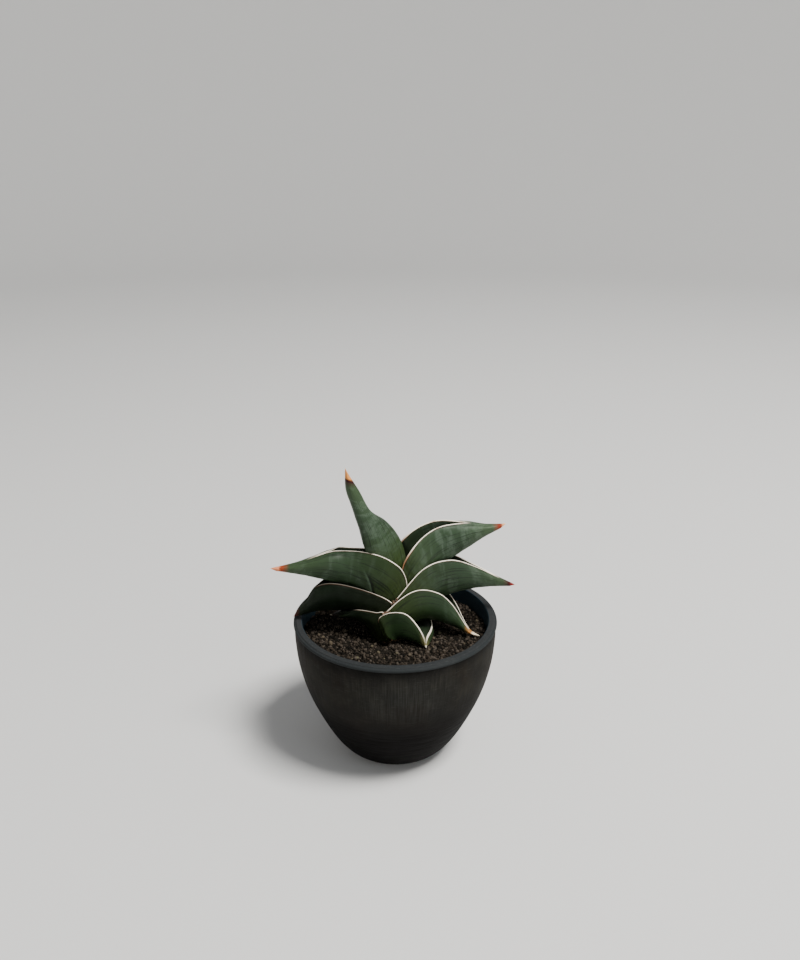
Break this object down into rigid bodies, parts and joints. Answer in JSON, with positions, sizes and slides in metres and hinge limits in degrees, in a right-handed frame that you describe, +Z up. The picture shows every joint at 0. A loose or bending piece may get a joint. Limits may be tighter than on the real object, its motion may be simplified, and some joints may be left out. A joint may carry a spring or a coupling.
{
  "type": "potted sansevieria",
  "caption": "Stiff boat-shaped succulent leaves with pale margins, fanned in two ranks from a short stem, in a round dark bowl pot of fine grit.",
  "frame": {"origin": "centre of the pot's flat base, on the surface that it stands on", "axes": "+Z up; the fan of leaves lies along X and is seen broadside from -Y, with the tall leaf leaning to -X"},
  "size_m": [0.1449, 0.121, 0.1847],
  "materials": {
    "pot": "matt charcoal with fine vertical streaks, slightly lighter rim",
    "soil": "fine dark grey-brown grit with a few tan grains, matt",
    "rootstock": "dry corky brown, matt",
    "leaf": "waxy dark blue-green, satin, faint lighter cross bands, white margins and orange-red tips"
  },
  "bodies": {
    "root": {"leaf_centre": "leaf", "leaf_left_1": "leaf", "leaf_left_2": "leaf", "leaf_left_3": "leaf", "leaf_right_1": "leaf", "leaf_right_2": "leaf", "leaf_right_3": "leaf", "leaf_right_4": "leaf", "pot": "pot", "rootstock": "rootstock", "soil": "soil"}
  },
  "joints": []
}
